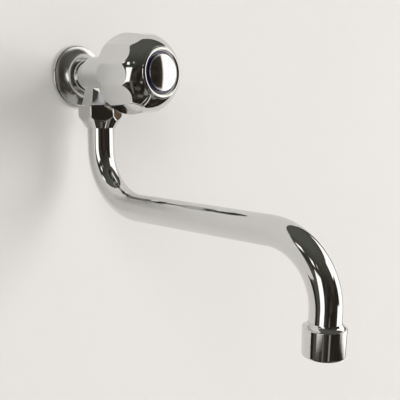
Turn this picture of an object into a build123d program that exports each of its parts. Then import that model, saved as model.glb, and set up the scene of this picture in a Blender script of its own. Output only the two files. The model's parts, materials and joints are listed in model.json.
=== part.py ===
from build123d import *
import os
from math import cos, pi, radians, sin

os.makedirs("parts", exist_ok=True)

# A wall-mounted cold-water kitchen tap with a swivelling pipe spout.
# Millimetres, +Z up. The origin is where the inlet axis meets the wall.
# The tap comes out of the wall along -Y, and "out" is a distance from the wall.

# Play between pieces
THREAD_FIT = 0.05  # radial play of a screwed pair
RUNNING_FIT = 0.05  # radial play of a shaft in its bearing
SEAT_PLAY = 0.1  # axial play of a turning shoulder against its seat
LOOSE_FIT = 0.3  # radial play where a moving pipe passes a fixed piece
PRESS_PLAY = 0.05  # play of a piece pushed into its recess

# Inlet and barrel of the body, all on the inlet axis
INLET_THREAD_RADIUS = 10.48  # G 1/2
INLET_THREAD_LENGTH = 13.0  # behind the wall's face
INLET_BORE_RADIUS = 6.0
NECK_START = 3.0  # the thread ends and the plain neck starts inside the rosette
NECK_RADIUS = 11.4
BARREL_RADIUS = 12.8
BARREL_START = 18.9
BARREL_LENGTH = 28.6
BARREL_EDGE = 0.7

# Valve seat and chamber inside the barrel
SEAT_BORE_RADIUS = 5.0
SEAT_RIM_RADIUS = 6.6
SEAT_RIM_HEIGHT = 1.8
SEAT_OUT = 19.0
CHAMBER_RADIUS = 8.0
BONNET_THREAD_RADIUS = 8.33  # G 3/8
BONNET_THREAD_LENGTH = 15.5

# Outlet boss below the barrel, on the swivel axis
SWIVEL_OUT = 23.8
BOSS_SIDES = 8
BOSS_ACROSS_FLATS = 23.6
BOSS_TAPER = 13.0  # degrees, narrower towards the barrel
BOSS_BOTTOM = -19.8
BOSS_HEIGHT = 15.0
BOSS_EDGE = 0.5
OUTLET_THREAD_RADIUS = 10.48  # G 1/2
OUTLET_THREAD_LENGTH = 7.2
OUTLET_PASSAGE_RADIUS = 5.5
SOCKET_DEPTH = 16.0
NIPPLE_RADIUS = 7.5

# Wall rosette
ROSETTE_RADIUS = 21.3
ROSETTE_SIDE = 1.0
ROSETTE_EDGE = 1.3
ROSETTE_HEIGHT = 6.8
ROSETTE_SHEET = 1.3
ROSETTE_HOLLOW = 0.7  # the front face is dished by this much between rim and hub
HUB_RADIUS = 13.2
HUB_HEIGHT = 1.8
HUB_EDGE = 0.4  # rounding of the hub's end

# Bonnet, the screwed-in valve housing
BONNET_GASKET = 0.7
BONNET_GASKET_RADIUS = 11.0
BONNET_FLANGE_FLATS = 22.0
BONNET_FLANGE = 2.8
BONNET_NECK_RADIUS = 7.0
BONNET_NECK_LENGTH = 9.0
GUIDE_FLATS = 10.6  # hexagon on the plunger that keeps it from turning

# Spindle
SPINDLE_RADIUS = 4.0
COLLAR_RADIUS = 5.0
COLLAR_LENGTH = 1.8
DRIVE_SCREW_RADIUS = 3.0
DRIVE_SCREW_LENGTH = 10.6
SEAL_WIRE = 0.9  # radius of the rubber wire of the stem's O-rings
SEAL_SPACING = 4.5
CIRCLIP_THICKNESS = 0.8
CIRCLIP_DEPTH = 0.6
CIRCLIP_WIDTH = 1.6
CIRCLIP_MOUTH = 3.4
SPLINE_RADIUS = 3.9
SPLINE_TOOTH = 0.35
SPLINE_TEETH = 20
SPLINE_LENGTH = 14.5
KNOB_SCREW_RADIUS = 2.45  # M5
KNOB_SCREW_LENGTH = 10.0
KNOB_SCREW_HEAD_RADIUS = 4.4
KNOB_SCREW_HEAD = 2.4
KNOB_SCREW_WING = 1.1

# Plunger that the spindle's thread lifts off the seat
WASHER_RADIUS = 6.5
WASHER_THICKNESS = 2.9
WASHER_SCREW_RADIUS = 1.5
WASHER_SCREW_LENGTH = 7.0
WASHER_SCREW_HEAD_RADIUS = 2.7
WASHER_SCREW_HEAD = 1.6
WASHER_SCREW_SLOT = 0.8
PLUNGER_FLANGE_RADIUS = 6.9
PLUNGER_FLANGE = 2.2
PLUNGER_STEM = 15.3
PLUNGER_BORE_DEPTH = 10.5
VALVE_LIFT = 4.0
LIFT_RESERVE = 0.7  # left between the lifted plunger and the spindle's collar

# Knob
KNOB_START = 51.3
KNOB_RIM_RADIUS = 25.6
KNOB_MAX_RADIUS = 26.7
KNOB_MAX_AT = 12.0  # from the knob's rear rim to its widest place
REAR_BULGE = 0.5  # of the side between the rear rim and the widest place
KNOB_LENGTH = 33.1  # rear rim to the crest of the front bead
BEAD_RADIUS = 16.5
BEAD_WIDTH = 3.6
BEAD_STEP = 1.0
FLUTES = 12
FLUTE_TURN = -3.7  # degrees that the closed knob is turned
FLUTE_HOLLOW_RADIUS = 80.0
FLUTE_REACH = 10.0  # degrees about the hollow's axis, more than a flute's half width
FLUTE_RUN_OUT = 6.0  # how far the cut goes on in front of the flute's end
FLUTE_CLEAR = 2.0  # how far the cut reaches past the knob's rim and widest place
FLUTE_REAR = 25.45  # floor of a flute from the axis, at the rear rim
FLUTE_MIDDLE = 25.35
FLUTE_FRONT = 23.4
FLUTE_MIDDLE_AT = 10.0
FLUTE_FRONT_AT = 23.7
KNOB_CAVITY_RADIUS = 22.4
KNOB_CAVITY_STRAIGHT = 18.5
KNOB_CAVITY_DEPTH = 29.2
KNOB_CAVITY_END_RADIUS = 12.0
FACE_DEPTH = 2.2  # recess for the index ring and cap, below the bead's crest
FACE_HOLE_RADIUS = 6.2

# Knob core
CORE_BOSS_RADIUS = 8.0
CORE_WEB_AT = 14.7  # from the knob's rear rim
CORE_WEB = 2.5
CORE_RING_WALL = 2.0
CORE_RING_START = 4.7
CORE_RIBS = 6
CORE_RIB = 1.8
CORE_END_GAP = 1.0  # between the bonnet's circlip and the core's boss
SCREW_SEAT_WALL = 1.4  # between the spline's end and the knob screw's head
RIB_ROOT = 4.0  # radius at which the ribs start, inside the boss

# Index ring and cap
CAP_RADIUS = 11.5
CAP_SIDE = 3.0
CAP_CROWN = 0.9
CAP_EDGE = 0.5
CAP_SKIRT_WALL = 0.9
CAP_SKIRT = 1.2
CAP_HOLLOW = 1.3
INDEX_RING_THICKNESS = 0.9

# Union nut
NUT_FLATS = 26.0
NUT_TOP_GAP = 0.3
NUT_HEX_HEIGHT = 7.1
NUT_CONE_HEIGHT = 8.1
NUT_END_RADIUS = 9.9
NUT_TOP_CHAMFER = 0.6
NUT_TURN = 25.0  # degrees that the tightened nut is turned
NUT_EDGE = 1.2  # rounding between its flats
SLIP_RING_THICKNESS = 1.2
SLIP_RING_RADIUS = 10.3

# Spout pipe
PIPE_RADIUS = 9.0
PIPE_WALL = 1.2
BEND_START = -48.7
FIRST_BEND = 38.4
SECOND_BEND = 37.7
ARM_LENGTH = 106.5
FIRST_BEND_ANGLE = 89.0
SECOND_BEND_ANGLE = 91.0  # the outlet leans back towards the wall
OUTLET_DROP = 15.1  # straight length below the second bend
SWIVEL_COLLAR_RADIUS = 10.0
SWIVEL_COLLAR = 2.0
FERRULE_BORE_RADIUS = 4.6
FERRULE_SPIGOT = 8.0
PIPE_SEAL_WIRE = 0.9
PIPE_SEAL_DEPTHS = (4.0, 9.0)  # from the nipple's upper end

# Outlet end and aerator
OUTLET_RING_RADIUS = 10.9  # M22 x 1
OUTLET_RING_ABOVE = 7.1  # above the pipe's end
OUTLET_RING_BELOW = 1.5
OUTLET_FLARE = 2.4  # height of the brazed hollow flare above the ring
FLARE_HOLLOW = 0.35
FLARE_LIP = 0.2
AERATOR_RADIUS = 12.0
AERATOR_FOOT_RADIUS = 11.7
AERATOR_TOP_DROP = 0.2
AERATOR_HEIGHT = 16.0
AERATOR_TOP_EDGE = 0.4
AERATOR_FOOT_EDGE = 1.2
AERATOR_LIP_RADIUS = 9.6
AERATOR_LIP = 4.1
AERATOR_PLAY = 0.2  # radial play of the insert in the housing
INSERT_RECESS = 0.6  # the insert's floor lies this far above the housing's foot
AERATOR_GASKET_BORE = 8.2
INSERT_FLANGE = 1.4
INSERT_WALL = 0.8
INSERT_FLOOR = 1.4
INSERT_HOLE_RADIUS = 0.7
INSERT_HOLE_CIRCLES = (3.0, 6.0)
SCREEN_THICKNESS = 0.3
SCREEN_SPACING = 1.0
SCREEN_HOLE = 1.1
SCREEN_PITCH = 1.6

# Places along the inlet axis that follow from the sizes above
BARREL_END = BARREL_START + BARREL_LENGTH
BONNET_START = BARREL_END - BONNET_THREAD_LENGTH
FLANGE_START = BARREL_END + BONNET_GASKET
FLANGE_END = FLANGE_START + BONNET_FLANGE
BONNET_END = FLANGE_END + BONNET_NECK_LENGTH
WASHER_FACE = SEAT_OUT + PRESS_PLAY
PLUNGER_START = WASHER_FACE + WASHER_THICKNESS
STEM_START = PLUNGER_START + PLUNGER_FLANGE
PLUNGER_END = STEM_START + PLUNGER_STEM
COLLAR_START = PLUNGER_END + VALVE_LIFT + LIFT_RESERVE
COLLAR_END = COLLAR_START + COLLAR_LENGTH
CIRCLIP_START = BONNET_END + SEAT_PLAY
CIRCLIP_END = CIRCLIP_START + CIRCLIP_THICKNESS
CORE_START = CIRCLIP_END + CORE_END_GAP
SPLINE_START = CORE_START - PRESS_PLAY
SPLINE_END = SPLINE_START + SPLINE_LENGTH
KNOB_FRONT = KNOB_START + KNOB_LENGTH
FACE_OUT = KNOB_FRONT - FACE_DEPTH
CAVITY_END = KNOB_START + KNOB_CAVITY_DEPTH
CORE_END = CAVITY_END - PRESS_PLAY
CORE_SEAT = SPLINE_END + SCREW_SEAT_WALL

# Places along the swivel axis that follow from the sizes above
OUTLET_THREAD_END = BOSS_BOTTOM - OUTLET_THREAD_LENGTH
SOCKET_TOP = OUTLET_THREAD_END + SOCKET_DEPTH
NIPPLE_TOP = SOCKET_TOP - LOOSE_FIT
COLLAR_TOP = OUTLET_THREAD_END - SEAT_PLAY
COLLAR_BOTTOM = COLLAR_TOP - SWIVEL_COLLAR
SLIP_RING_TOP = COLLAR_BOTTOM - SEAT_PLAY
SLIP_RING_BOTTOM = SLIP_RING_TOP - SLIP_RING_THICKNESS
NUT_TOP = BOSS_BOTTOM - NUT_TOP_GAP
NUT_HEX_BOTTOM = NUT_TOP - NUT_HEX_HEIGHT
NUT_BOTTOM = NUT_HEX_BOTTOM - NUT_CONE_HEIGHT
PIPE_BORE_RADIUS = PIPE_RADIUS - PIPE_WALL
PIPE_HOLE_RADIUS = PIPE_RADIUS + LOOSE_FIT


def on_inlet_axis(*outline):
    """Turns a closed outline of (radius, out) points about the inlet axis."""
    points = [(radius, -out) for radius, out in outline]
    return revolve(make_face(Polyline(*points, close=True)), Axis.Y)


def on_swivel_axis(*outline):
    """Turns a closed outline of (radius, z) points about the vertical axis at the origin."""
    face = make_face(Polyline(*outline, close=True))
    return revolve(Plane.XZ * face, Axis.Z)


def at_swivel(shape):
    """Moves a piece built about the origin's vertical axis to the swivel axis."""
    return Pos(0, -SWIVEL_OUT, 0) * shape


def tube_on_inlet(outer, inner, start, end):
    """A plain ring about the inlet axis, from one distance out to another."""
    return on_inlet_axis((inner, start), (outer, start), (outer, end), (inner, end))


def tube_on_swivel(outer, inner, top, bottom):
    """A plain ring about the vertical axis, between two heights."""
    return on_swivel_axis((inner, bottom), (outer, bottom), (outer, top), (inner, top))


def rod_on_inlet(radius, start, end):
    """A plain rod on the inlet axis."""
    return tube_on_inlet(radius, 0, start, end)


def rod_on_swivel(radius, top, bottom):
    """A plain rod on the vertical axis."""
    return tube_on_swivel(radius, 0, top, bottom)


def hexagon_on_inlet(across_flats, start, end):
    """A hexagonal bar on the inlet axis."""
    face = RegularPolygon(across_flats / 2, 6, major_radius=False)
    plane = Plane(origin=(0, -start, 0), x_dir=(1, 0, 0), z_dir=(0, -1, 0))
    return extrude(plane * face, end - start)


def o_ring(wire, outer):
    """A rubber ring about Z at the origin, whose outside has the given radius."""
    return Torus(outer - wire, wire)


def lying_on_inlet(shape, out):
    """Turns a piece built about Z so that it lies about the inlet axis."""
    return Pos(0, -out, 0) * Rot(90, 0, 0) * shape


def round_edges(shape, radius, plane_out):
    """Rounds the outermost circular edge that lies at one distance from the wall."""
    edges = shape.edges().filter_by(GeomType.CIRCLE).filter_by(lambda e: abs(e.center().Y + plane_out) < 0.01)
    return fillet(edges.sort_by(lambda e: e.radius)[-1:], radius)


def tap_body():
    """Brass casting: inlet thread, neck, barrel with the valve seat, and outlet boss."""
    bar = on_inlet_axis(
        (0, -INLET_THREAD_LENGTH),
        (INLET_THREAD_RADIUS, -INLET_THREAD_LENGTH),
        (INLET_THREAD_RADIUS, NECK_START),
        (NECK_RADIUS, NECK_START),
        (NECK_RADIUS, BARREL_START),
        (BARREL_RADIUS, BARREL_START),
        (BARREL_RADIUS, BARREL_END),
        (0, BARREL_END),
    )
    bar = round_edges(bar, BARREL_EDGE, BARREL_START)
    bar = round_edges(bar, BARREL_EDGE, BARREL_END)
    octagon = RegularPolygon(
        BOSS_ACROSS_FLATS / 2, BOSS_SIDES, major_radius=False, rotation=180 / BOSS_SIDES
    )
    boss = extrude(Pos(0, 0, BOSS_BOTTOM) * octagon, BOSS_HEIGHT, taper=BOSS_TAPER)
    boss = fillet(boss.edges().filter_by(lambda e: abs(e.tangent_at(0.5).Z) > 0.7), BOSS_EDGE)
    thread = rod_on_swivel(OUTLET_THREAD_RADIUS, BOSS_BOTTOM, OUTLET_THREAD_END)
    body = bar + at_swivel(boss) + at_swivel(thread)
    chamber_floor = SEAT_OUT - SEAT_RIM_HEIGHT
    body -= rod_on_inlet(INLET_BORE_RADIUS, -INLET_THREAD_LENGTH, chamber_floor - SEAT_RIM_HEIGHT)
    body -= rod_on_inlet(SEAT_BORE_RADIUS, 0, SEAT_OUT)
    body -= tube_on_inlet(CHAMBER_RADIUS, SEAT_RIM_RADIUS, chamber_floor, SEAT_OUT)
    body -= rod_on_inlet(CHAMBER_RADIUS, SEAT_OUT, BARREL_END)
    body -= rod_on_inlet(
        BONNET_THREAD_RADIUS + THREAD_FIT, BONNET_START - SEAT_PLAY, BARREL_END
    )
    body -= at_swivel(rod_on_swivel(OUTLET_PASSAGE_RADIUS, 0, SOCKET_TOP))
    body -= at_swivel(
        rod_on_swivel(NIPPLE_RADIUS + RUNNING_FIT, SOCKET_TOP, OUTLET_THREAD_END)
    )
    return body


def wall_rosette():
    """Turned cover plate that hides the hole in the wall."""
    crown = ROSETTE_SIDE + ROSETTE_EDGE
    hub_end = ROSETTE_HEIGHT + HUB_HEIGHT
    hole = NECK_RADIUS + RUNNING_FIT
    edge_start = (ROSETTE_RADIUS, -ROSETTE_SIDE)
    edge_end = (ROSETTE_RADIUS - ROSETTE_EDGE, -crown)
    edge = RadiusArc(edge_start, edge_end, ROSETTE_EDGE)
    hub_foot = (HUB_RADIUS, -ROSETTE_HEIGHT)
    face = SagittaArc(edge_end, hub_foot, -ROSETTE_HOLLOW)
    rest = Polyline(
        hub_foot,
        (HUB_RADIUS, -hub_end),
        (hole, -hub_end),
        (hole, -(ROSETTE_HEIGHT - ROSETTE_SHEET)),
        (ROSETTE_RADIUS - ROSETTE_SHEET - ROSETTE_EDGE, -(crown - ROSETTE_SHEET)),
        (ROSETTE_RADIUS - ROSETTE_SHEET, -(ROSETTE_SIDE - ROSETTE_SHEET / 2)),
        (ROSETTE_RADIUS - ROSETTE_SHEET, 0),
        (ROSETTE_RADIUS, 0),
        edge_start,
    )
    rosette = revolve(make_face(edge + face + rest), Axis.Y)
    return round_edges(rosette, HUB_EDGE, hub_end)


def valve_bonnet():
    """Brass housing of the valve, screwed into the front of the barrel."""
    bonnet = rod_on_inlet(BONNET_THREAD_RADIUS, BONNET_START, FLANGE_START)
    bonnet += hexagon_on_inlet(BONNET_FLANGE_FLATS, FLANGE_START, FLANGE_END)
    bonnet += rod_on_inlet(BONNET_NECK_RADIUS, FLANGE_END, BONNET_END)
    guide = GUIDE_FLATS + 2 * RUNNING_FIT
    bonnet -= hexagon_on_inlet(guide, BONNET_START, COLLAR_END + SEAT_PLAY)
    bonnet -= rod_on_inlet(SPINDLE_RADIUS + RUNNING_FIT, COLLAR_END, BONNET_END)
    return bonnet


def bonnet_gasket():
    """Fibre ring between the barrel and the bonnet's flange."""
    inner = BONNET_THREAD_RADIUS + THREAD_FIT
    return tube_on_inlet(BONNET_GASKET_RADIUS, inner, BARREL_END, FLANGE_START)


def stem_seal_places():
    """Distances out of the two O-rings on the spindle."""
    middle = (FLANGE_START + BONNET_END) / 2
    return (middle - SEAL_SPACING / 2, middle + SEAL_SPACING / 2)


def valve_spindle():
    """Brass spindle: drive screw, thrust collar, sealed stem and splined end."""
    spindle = rod_on_inlet(DRIVE_SCREW_RADIUS, COLLAR_START - DRIVE_SCREW_LENGTH, COLLAR_START)
    spindle += rod_on_inlet(COLLAR_RADIUS, COLLAR_START, COLLAR_END)
    spindle += rod_on_inlet(SPINDLE_RADIUS, COLLAR_END, SPLINE_START)
    for place in stem_seal_places():
        groove = SPINDLE_RADIUS + RUNNING_FIT - 2 * SEAL_WIRE
        spindle -= tube_on_inlet(SPINDLE_RADIUS, groove, place - SEAL_WIRE, place + SEAL_WIRE)
    neck = SPINDLE_RADIUS - CIRCLIP_DEPTH
    spindle -= tube_on_inlet(SPINDLE_RADIUS, neck, CIRCLIP_START, CIRCLIP_END)
    corners = []
    for corner in range(2 * SPLINE_TEETH):
        radius = SPLINE_RADIUS - SPLINE_TOOTH * (corner % 2)
        angle = pi * corner / SPLINE_TEETH
        corners.append((radius * cos(angle), radius * sin(angle)))
    plane = Plane(origin=(0, -SPLINE_START, 0), x_dir=(1, 0, 0), z_dir=(0, -1, 0))
    spindle += extrude(plane * make_face(Polyline(*corners, close=True)), SPLINE_LENGTH)
    tapped = KNOB_SCREW_RADIUS + THREAD_FIT
    depth = CORE_SEAT - KNOB_SCREW_LENGTH - SEAT_PLAY
    spindle -= rod_on_inlet(tapped, depth, SPLINE_END)
    return spindle


def spindle_o_rings():
    """Two rubber rings that seal the spindle in the bonnet."""
    ring = o_ring(SEAL_WIRE, SPINDLE_RADIUS + RUNNING_FIT)
    first, second = stem_seal_places()
    return Compound([lying_on_inlet(ring, first), lying_on_inlet(ring, second)])


def spindle_circlip():
    """Spring clip in the spindle's groove, open at one side."""
    inner = SPINDLE_RADIUS - CIRCLIP_DEPTH
    clip = tube_on_inlet(inner + CIRCLIP_WIDTH, inner, CIRCLIP_START, CIRCLIP_END)
    reach = inner + 2 * CIRCLIP_WIDTH
    middle = (CIRCLIP_START + CIRCLIP_END) / 2
    mouth = Pos(0, -middle, reach / 2) * Box(CIRCLIP_MOUTH, 2 * CIRCLIP_THICKNESS, reach)
    return clip - mouth


def valve_plunger():
    """Brass plunger: washer flange and a hexagonal stem with the driven thread."""
    plunger = rod_on_inlet(PLUNGER_FLANGE_RADIUS, PLUNGER_START, STEM_START)
    plunger += hexagon_on_inlet(GUIDE_FLATS, STEM_START, PLUNGER_END)
    driven = DRIVE_SCREW_RADIUS + THREAD_FIT
    plunger -= rod_on_inlet(driven, PLUNGER_END - PLUNGER_BORE_DEPTH, PLUNGER_END)
    tapped = WASHER_SCREW_RADIUS + THREAD_FIT
    plunger -= rod_on_inlet(tapped, PLUNGER_START, WASHER_FACE + WASHER_SCREW_LENGTH + SEAT_PLAY)
    return plunger


def seat_washer():
    """Rubber disc that closes the seat."""
    hole = WASHER_SCREW_RADIUS + PRESS_PLAY
    return tube_on_inlet(WASHER_RADIUS, hole, WASHER_FACE, PLUNGER_START)


def washer_screw():
    """Brass screw that holds the rubber disc."""
    head = rod_on_inlet(WASHER_SCREW_HEAD_RADIUS, WASHER_FACE - WASHER_SCREW_HEAD, WASHER_FACE)
    shank = rod_on_inlet(WASHER_SCREW_RADIUS, WASHER_FACE, WASHER_FACE + WASHER_SCREW_LENGTH)
    slot = Box(WASHER_SCREW_SLOT, WASHER_SCREW_HEAD, 3 * WASHER_SCREW_HEAD_RADIUS)
    return head + shank - Pos(0, -(WASHER_FACE - WASHER_SCREW_HEAD), 0) * slot


def flute_cutter():
    """Metal outside one flute: hollow across the knob and bulging along it."""
    start = KNOB_START - FLUTE_CLEAR
    end = KNOB_START + FLUTE_FRONT_AT
    middle = KNOB_START + FLUTE_MIDDLE_AT
    floor = ThreePointArc(
        (FLUTE_REAR, -start), (FLUTE_MIDDLE, -middle), (FLUTE_FRONT, -end)
    )
    outside = KNOB_MAX_RADIUS + FLUTE_CLEAR
    tip = (floor @ 1) + (floor % 1) * FLUTE_RUN_OUT
    back = Polyline(
        floor @ 1, tip, (outside, tip.Y), (outside, -start), (FLUTE_REAR, -start)
    )
    hollow_axis = Axis((FLUTE_MIDDLE + FLUTE_HOLLOW_RADIUS, 0, 0), (0, 1, 0))
    section = make_face(floor + back)
    cutter = revolve(section, hollow_axis, revolution_arc=FLUTE_REACH)
    return cutter + revolve(section, hollow_axis, revolution_arc=-FLUTE_REACH)


def knob_shell():
    """Cast metal knob: rounded, with shallow flutes round its side."""
    front = KNOB_FRONT - BEAD_STEP
    widest = KNOB_START + KNOB_MAX_AT
    rear = SagittaArc((KNOB_RIM_RADIUS, -KNOB_START), (KNOB_MAX_RADIUS, -widest), REAR_BULGE)
    dome = TangentArc((KNOB_MAX_RADIUS, -widest), (BEAD_RADIUS, -front), tangent=(0, -1))
    rest = Polyline(
        (BEAD_RADIUS, -front), (0, -front), (0, -KNOB_START), (KNOB_RIM_RADIUS, -KNOB_START)
    )
    shell = revolve(make_face(rear + dome + rest), Axis.Y)
    bead_middle = BEAD_RADIUS - BEAD_WIDTH / 2
    shell += lying_on_inlet(Torus(bead_middle, BEAD_WIDTH / 2), KNOB_FRONT - BEAD_WIDTH / 2)
    cutter = flute_cutter()
    for flute in range(FLUTES):
        shell -= Rot(0, FLUTE_TURN + 360 / FLUTES * flute, 0) * cutter
    shell -= on_inlet_axis(
        (0, KNOB_START),
        (KNOB_CAVITY_RADIUS, KNOB_START),
        (KNOB_CAVITY_RADIUS, KNOB_START + KNOB_CAVITY_STRAIGHT),
        (KNOB_CAVITY_END_RADIUS, CAVITY_END),
        (0, CAVITY_END),
    )
    shell -= rod_on_inlet(BEAD_RADIUS - BEAD_WIDTH, FACE_OUT, KNOB_FRONT)
    shell -= rod_on_inlet(FACE_HOLE_RADIUS, CAVITY_END, KNOB_FRONT)
    return shell


def knob_core():
    """Plastic core pressed into the shell, with ribs, web and splined boss."""
    ring_radius = KNOB_CAVITY_RADIUS - PRESS_PLAY
    ring_start = KNOB_START + CORE_RING_START
    web_start = KNOB_START + CORE_WEB_AT
    core = rod_on_inlet(ring_radius, web_start, web_start + CORE_WEB)
    core += rod_on_inlet(CORE_BOSS_RADIUS, CORE_START, CORE_END)
    core += tube_on_inlet(ring_radius, ring_radius - CORE_RING_WALL, ring_start, web_start)
    rib_end = ring_radius - CORE_RING_WALL / 2
    rib = Box(rib_end - RIB_ROOT, web_start - CORE_START, CORE_RIB)
    rib = Pos((rib_end + RIB_ROOT) / 2, -(web_start + CORE_START) / 2, 0) * rib
    for place in range(CORE_RIBS):
        core += Rot(0, 360 / CORE_RIBS * place, 0) * rib
    core -= rod_on_inlet(SPLINE_RADIUS + PRESS_PLAY, CORE_START, SPLINE_END + PRESS_PLAY)
    core -= rod_on_inlet(KNOB_SCREW_RADIUS + PRESS_PLAY, SPLINE_END, CORE_SEAT)
    core -= rod_on_inlet(KNOB_SCREW_HEAD_RADIUS + LOOSE_FIT, CORE_SEAT, CORE_END)
    return core


def knob_screw():
    """Steel screw that holds the knob on the spindle, with a cross recess."""
    head = rod_on_inlet(KNOB_SCREW_HEAD_RADIUS, CORE_SEAT, CORE_SEAT + KNOB_SCREW_HEAD)
    shank = rod_on_inlet(KNOB_SCREW_RADIUS, CORE_SEAT - KNOB_SCREW_LENGTH, CORE_SEAT)
    wing = Box(KNOB_SCREW_WING, KNOB_SCREW_HEAD, KNOB_SCREW_HEAD_RADIUS)
    cross = wing + Rot(0, 90, 0) * wing
    return head + shank - Pos(0, -(CORE_SEAT + KNOB_SCREW_HEAD), 0) * cross


def index_ring():
    """Blue plastic ring that marks cold water."""
    outer = BEAD_RADIUS - BEAD_WIDTH - PRESS_PLAY
    inner = CAP_RADIUS + PRESS_PLAY
    return tube_on_inlet(outer, inner, FACE_OUT, FACE_OUT + INDEX_RING_THICKNESS)


def knob_cap():
    """Slightly domed cap over the knob screw, with a snap-in skirt."""
    side_end = FACE_OUT + CAP_SIDE
    skirt = FACE_HOLE_RADIUS - PRESS_PLAY
    crown = SagittaArc((CAP_RADIUS, -side_end), (-CAP_RADIUS, -side_end), CAP_CROWN)
    half = crown.trim(0, 0.5)
    rest = Polyline(
        half @ 1,
        (0, -(FACE_OUT + CAP_HOLLOW)),
        (skirt - CAP_SKIRT_WALL, -(FACE_OUT + CAP_HOLLOW)),
        (skirt - CAP_SKIRT_WALL, -(FACE_OUT - CAP_SKIRT)),
        (skirt, -(FACE_OUT - CAP_SKIRT)),
        (skirt, -FACE_OUT),
        (CAP_RADIUS, -FACE_OUT),
        (CAP_RADIUS, -side_end),
    )
    cap = revolve(make_face(half + rest), Axis.Y)
    return round_edges(cap, CAP_EDGE, side_end)


def union_nut():
    """Hexagonal nut with a long conical end, which holds the spout."""
    corner = NUT_FLATS / 2 / cos(radians(30))
    hexagon = RegularPolygon(NUT_FLATS / 2, 6, major_radius=False, rotation=NUT_TURN)
    hexagon = fillet(hexagon.vertices(), NUT_EDGE)
    nut = extrude(Pos(0, 0, NUT_BOTTOM) * hexagon, NUT_TOP - NUT_BOTTOM)
    nut &= on_swivel_axis(
        (0, NUT_TOP),
        (corner - NUT_TOP_CHAMFER, NUT_TOP),
        (corner, NUT_TOP - NUT_TOP_CHAMFER),
        (corner, NUT_HEX_BOTTOM),
        (NUT_END_RADIUS, NUT_BOTTOM),
        (0, NUT_BOTTOM),
    )
    nut -= rod_on_swivel(OUTLET_THREAD_RADIUS + THREAD_FIT, NUT_TOP, SLIP_RING_BOTTOM)
    nut -= rod_on_swivel(PIPE_HOLE_RADIUS, SLIP_RING_BOTTOM, NUT_BOTTOM)
    return at_swivel(nut)


def slip_ring():
    """Nylon ring on which the spout's collar turns in the nut."""
    ring = tube_on_swivel(SLIP_RING_RADIUS, PIPE_HOLE_RADIUS, SLIP_RING_TOP, SLIP_RING_BOTTOM)
    return at_swivel(ring)


def swivel_ferrule():
    """Brass end of the spout: sealed nipple, collar and spigot in the pipe."""
    ferrule = rod_on_swivel(NIPPLE_RADIUS, NIPPLE_TOP, COLLAR_TOP)
    ferrule += rod_on_swivel(SWIVEL_COLLAR_RADIUS, COLLAR_TOP, COLLAR_BOTTOM)
    spigot = PIPE_BORE_RADIUS - PRESS_PLAY
    spigot_end = COLLAR_BOTTOM - FERRULE_SPIGOT
    ferrule += rod_on_swivel(spigot, COLLAR_BOTTOM, spigot_end)
    ferrule -= rod_on_swivel(FERRULE_BORE_RADIUS, NIPPLE_TOP, spigot_end)
    groove = NIPPLE_RADIUS + RUNNING_FIT / 2 - 2 * PIPE_SEAL_WIRE
    for depth in PIPE_SEAL_DEPTHS:
        place = NIPPLE_TOP - depth
        ferrule -= tube_on_swivel(
            NIPPLE_RADIUS, groove, place + PIPE_SEAL_WIRE, place - PIPE_SEAL_WIRE
        )
    return at_swivel(ferrule)


def swivel_o_rings():
    """Two rubber rings that seal the turning spout in the body."""
    ring = o_ring(PIPE_SEAL_WIRE, NIPPLE_RADIUS + RUNNING_FIT / 2)
    rings = [Pos(0, 0, NIPPLE_TOP - depth) * ring for depth in PIPE_SEAL_DEPTHS]
    return at_swivel(Compound(rings))


def spout_route():
    """Centre line of the pipe in the plane of the spout: reach against height."""
    fall = Line((0, COLLAR_BOTTOM), (0, BEND_START))
    first = JernArc(fall @ 1, fall % 1, FIRST_BEND, FIRST_BEND_ANGLE)
    arm = Line(first @ 1, (first @ 1) + (first % 1) * ARM_LENGTH)
    second = JernArc(arm @ 1, arm % 1, SECOND_BEND, -SECOND_BEND_ANGLE)
    drop = Line(second @ 1, (second @ 1) + (second % 1) * OUTLET_DROP)
    return fall + first + arm + second + drop


PIPE_END = spout_route() @ 1
OUTLET_LEAN = SECOND_BEND_ANGLE - FIRST_BEND_ANGLE


def spout_pipe():
    """Bent pipe of one diameter from the union nut to the aerator."""
    spout_plane = Plane(origin=(0, -SWIVEL_OUT, 0), x_dir=(0, -1, 0), z_dir=(-1, 0, 0))
    route = spout_plane * spout_route()
    section = Pos(0, -SWIVEL_OUT, COLLAR_BOTTOM) * (Circle(PIPE_RADIUS) - Circle(PIPE_BORE_RADIUS))
    return sweep(section, path=route)


def at_outlet(shape):
    """Moves a piece built about the origin's vertical axis to the pipe's end."""
    return Pos(0, -SWIVEL_OUT - PIPE_END.X, PIPE_END.Y) * Rot(OUTLET_LEAN, 0, 0) * shape


# Heights above the pipe's end, before the outlet's lean
AERATOR_TOP = OUTLET_RING_ABOVE - AERATOR_TOP_DROP
AERATOR_BOTTOM = AERATOR_TOP - AERATOR_HEIGHT
AERATOR_LEDGE = AERATOR_BOTTOM + AERATOR_LIP
INSERT_TOP = AERATOR_LEDGE + INSERT_FLANGE
INSERT_RADIUS = OUTLET_RING_RADIUS - AERATOR_PLAY
INSERT_BODY_RADIUS = AERATOR_LIP_RADIUS - AERATOR_PLAY
INSERT_BOTTOM = AERATOR_BOTTOM + INSERT_RECESS


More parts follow.
